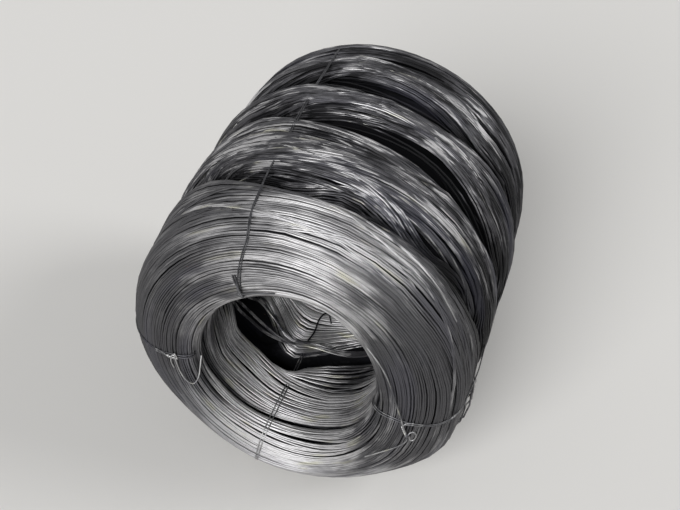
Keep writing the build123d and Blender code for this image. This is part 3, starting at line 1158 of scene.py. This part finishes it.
# %% Twists and tails
tail_radius = 0.00110
twist_radius = 0.00105
twist_pitch = 0.0095
twist_steps = 8
knot_height = 0.0030
knot_start = 0.0050
strand_shift = 0.0017
foot_height = 0.0004
foot_places = (0.016, 0.006)

# radius and angle of the knot, its heading, turns of twist, whether it is on the back, brightness
knots = {
    "tie_top": (0.160, 109.0, 172.0, 1.5, False, 0.20),
    "tie_left": (0.170, 180.0, -172.0, 1.5, False, 0.65),
    "tie_bottom": (0.160, 257.5, 60.0, 1.5, True, 0.60),
    "tie_right": (0.172, 350.0, 60.0, 2.0, False, 0.55),
}
# loose tails, each a row of points (radius, degrees, how proud of the end)
tails = {
    "tie_top": (
        [(0.148, 111.5, 0.002), (0.143, 108.0, 0.003), (0.144, 100.6, 0.003), (0.142, 91.0, 0.002)],
        [(0.144, 112.0, 0.001), (0.132, 113.0, -0.008), (0.112, 110.0, -0.030), (0.090, 104.0, -0.045)],
        [(0.142, 108.0, 0.002), (0.130, 102.0, -0.006), (0.112, 97.0, -0.022), (0.096, 90.0, -0.034)],
    ),
    "tie_left": (
        [(0.155, 176.0, 0.004), (0.1525, 182.5, 0.004), (0.150, 191.0, 0.004), (0.1450, 197.5, 0.004),
         (0.1375, 200.5, 0.004), (0.1300, 197.0, 0.003), (0.1262, 190.5, 0.003), (0.1243, 184.0, 0.002)],
        [(0.158, 178.0, 0.002), (0.163, 184.0, 0.003), (0.160, 188.0, 0.001)],
    ),
    "tie_bottom": (
        [(0.178, 245.0, 0.006), (0.181, 238.0, 0.007)],
        [(0.182, 249.0, 0.006), (0.191, 249.0, 0.008)],
    ),
    "tie_right": (
        [(0.1690, 355.1, 0.005), (0.1629, 361.0, 0.005), (0.1581, 368.8, 0.005), (0.1550, 376.8, 0.004),
         (0.1514, 384.2, 0.003), (0.1470, 392.0, 0.002), (0.1400, 399.0, -0.001)],
        [(0.1889, 340.5, 0.005), (0.1840, 336.0, 0.005), (0.1736, 329.6, 0.005), (0.1648, 317.1, 0.003)],
        [(0.1890, 346.5, 0.003), (0.1975, 344.5, 0.003), (0.1970, 341.0, 0.004), (0.1910, 340.6, 0.004),
         (0.1880, 343.5, 0.004)],
    ),
}


def end_height(r):
    """How far behind the front end the tight line lies at a radius."""
    front = tie_line[(tie_line[:, 1] < coil_length / 3) & (tie_line[:, 0] > bore_radius)]
    order = np.argsort(front[:, 0])
    return np.interp(r, front[order, 0], front[order, 1])


def on_face(r, degrees, proud, back=False):
    """A world point that stands proud of the tight line on the front end, or on the back end."""
    y = end_height(r) - proud
    return tie_spot(np.array(r), np.array(coil_length - y if back else y), np.array(degrees))


def twisted_strand(knot, heading, turns, phase, tail, back):
    """Points of one strand: half a twist with its partner, then its own loose tail."""
    outward = Vector((0, 1 if back else -1, 0))
    across = heading.cross(outward)
    points = []
    for step in range(round(turns * twist_steps) + 1):
        turn = phase + 2 * math.pi * step / twist_steps
        along = heading * (twist_pitch * step / twist_steps)
        points.append(knot + along + (across * math.cos(turn) + outward * math.sin(turn)) * twist_radius)
    return points + tail


def tie_twist(name):
    """A tie's twisted ends with their loose tails, as one piece."""
    knot_radius, degrees, lean, turns, back, tone = knots[name]
    turn, swing = math.radians(degrees), math.radians(lean)
    radial = Vector((math.cos(turn), 0, math.sin(turn)))
    aside = Vector((math.sin(turn), 0, -math.cos(turn)))
    heading = radial * math.cos(swing) + aside * math.sin(swing)
    knot = Vector(on_face(knot_radius, degrees, knot_height, back)) + heading * knot_start
    strands = []
    for number, tail in enumerate(tails[name]):
        shift = aside * (strand_shift * (1 - 2 * (number % 2)))
        foot = [Vector(on_face(knot_radius + away, degrees, foot_height, back)) + shift
                for away in foot_places]
        ends = [on_face(r, spot, proud, back) for r, spot, proud in tail]
        phase = 2 * math.pi * number / len(tails[name])
        strands.append(foot + twisted_strand(knot, heading, turns, phase, ends, back))
    mesh = soft_wires(name + "_twist", strands, tail_radius)
    store_even(mesh, tone, tone, tie_swing)
    add_piece(mesh, tie_finish, "tie_wire", name)


for name in knots:
    tie_twist(name)

# %% [markdown]
# The wire's own inner end stands up from the bore's floor as a small hook. It is one more smooth
# spline, as thick as the turns that it comes from.

# %% The hooked end
# radius, place behind the front end, degrees
hook = (
    (0.1235, 0.200, 256.0), (0.119, 0.215, 258.5), (0.110, 0.236, 257.0), (0.106, 0.252, 259.5),
    (0.110, 0.256, 264.0), (0.117, 0.244, 267.0),
)
hook_points = [in_world(np.array(r), np.array(y), np.radians(spot)) for r, y, spot in hook]
hook_mesh = soft_wires("hooked_end", [hook_points], wire_radius)
store_even(hook_mesh, 0.0, 0.0, 1.2)
add_piece(hook_mesh, loose, "annealed_wire", "wire_coil")

# %% [markdown]
# The coil stands on a plain pale floor, so that its own shadow can be seen and nothing competes
# with it. The floor is staging and no part of the object.

# %% The floor
floor_material = bpy.data.materials.new("pale_floor")
floor_material.use_nodes = True
floor_shader = floor_material.node_tree.nodes["Principled BSDF"]
floor_colour = (0.74, 0.73, 0.71, 1)
floor_reach = 9.0
floor_shader.inputs["Base Color"].default_value = floor_colour
floor_shader.inputs["Roughness"].default_value = 0.85
work = bmesh.new()
bmesh.ops.create_grid(work, x_segments=1, y_segments=1, size=floor_reach)
floor_mesh = bpy.data.meshes.new("floor")
work.to_mesh(floor_mesh)
work.free()
floor_mesh.materials.append(floor_material)
floor = bpy.data.objects.new("floor", floor_mesh)
bpy.context.scene.collection.objects.link(floor)
print("floor", tuple(round(side, 1) for side in floor.dimensions))

# %% [markdown]
# The photo has daylight from the upper front and a little from the right. Two broad lamps stand for
# it. They are so far away that the floor looks evenly lit from every side. On round wires the
# sheen lies where a wire turns across the light, which is why the front bundle shines at its top
# and its bottom; painted light in the wires' colour adds to it there. The surroundings are dim as a
# light, but pale to the eye and in reflections.

# %% The light
scene = bpy.context.scene
scene.view_settings.view_transform = "Standard"


def soft_light(name, place, width, strength):
    """A broad far lamp, given by where it stands, how many degrees wide it looks and its strength."""
    lamp = bpy.data.lights.new(name, "SUN")
    lamp.angle = math.radians(width)
    lamp.energy = strength
    holder = bpy.data.objects.new(name, lamp)
    holder.location = place
    holder.rotation_euler = Vector(place).to_track_quat("Z", "Y").to_euler()
    scene.collection.objects.link(holder)
    print(name, "lamp,", width, "degrees wide, strength", strength)


soft_light("key", (-1.0, -8.0, 4.3), 39.6, 3.23)
soft_light("side", (6.8, 1.6, 4.9), 24.3, 1.10)

world = bpy.data.worlds.new("pale_surroundings")
world.use_nodes = True
scene.world = world
tree = world.node_tree
background = tree.nodes["Background"]
background.inputs["Color"].default_value = (0.78, 0.78, 0.78, 1)
path = tree.nodes.new("ShaderNodeLightPath")
seen = math_node(tree, "MAXIMUM", path.outputs["Is Camera Ray"], path.outputs["Is Glossy Ray"])
seen = math_node(tree, "MAXIMUM", seen, path.outputs["Is Transmission Ray"])
dim = 0.3
strength = math_node(tree, "ADD", math_node(tree, "MULTIPLY", seen, 1 - dim), dim)
tree.links.new(strength, background.inputs["Strength"])

# %% [markdown]
# The camera stands where the photographer's eye was: about chest high, close to the coil and
# looking down on its front end from the right. Place and lens were fitted to the coil's outline.

# %% The camera
camera_place = (0.4227, -1.3542, 1.4488)
camera_forward = (-0.2274, 0.7294, -0.6452)
camera_lens = 64.9
camera_data = bpy.data.cameras.new("camera")
camera_data.lens = camera_lens
camera_data.clip_start = 0.05
camera = bpy.data.objects.new("camera", camera_data)
camera.location = camera_place
camera.rotation_euler = Vector(camera_forward).to_track_quat("-Z", "Y").to_euler()
scene.collection.objects.link(camera)
scene.camera = camera
print("camera at", camera_place, "with a lens of", camera_lens, "mm")
